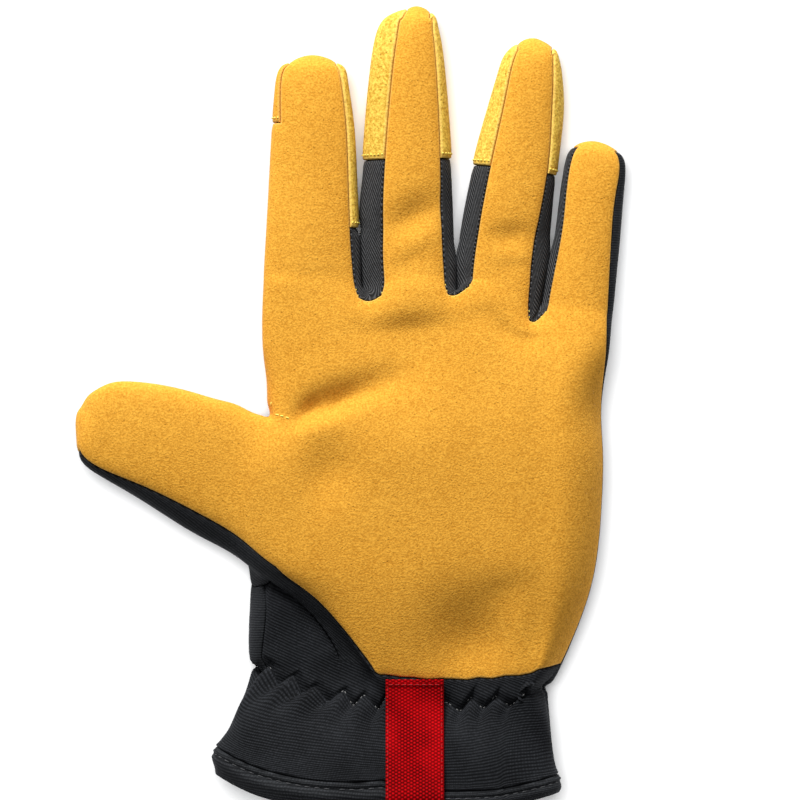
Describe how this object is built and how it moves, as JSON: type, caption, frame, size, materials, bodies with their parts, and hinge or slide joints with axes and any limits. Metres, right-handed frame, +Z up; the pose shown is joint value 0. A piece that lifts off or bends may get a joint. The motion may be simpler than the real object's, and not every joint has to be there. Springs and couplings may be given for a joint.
{
  "type": "mechanic work glove",
  "caption": "Left-hand mechanic's work glove, palm up: tan synthetic suede palm, black knit back, side pieces and flared cuff, red webbing pull tab.",
  "frame": {"origin": "centre of the bounding box in plan, on the plane the glove lies on", "axes": "+Y towards the fingertips, +X towards the little finger, +Z up out of the palm"},
  "size_m": [0.1764, 0.2594, 0.0274],
  "materials": {
    "tan_suede": "matte napped",
    "bright_suede": "matte napped",
    "black_twill": "matte",
    "black_knit": "matte",
    "ribbed_knit": "matte",
    "red_webbing": "satin"
  },
  "bodies": {
    "root": {"palm_panel": "tan_suede", "patch_index_left": "bright_suede", "patch_index_right": "bright_suede", "patch_middle_left": "bright_suede", "patch_middle_right": "bright_suede", "patch_ring_left": "bright_suede", "patch_ring_right": "bright_suede", "fourchette_index_middle": "black_twill", "fourchette_middle_ring": "black_twill", "fourchette_ring_little": "black_twill", "thumb_back": "black_knit", "back_panel": "black_knit", "wrist_gusset": "ribbed_knit", "cuff": "ribbed_knit", "hem_binding": "black_knit", "pull_tab": "red_webbing"}
  },
  "joints": []
}
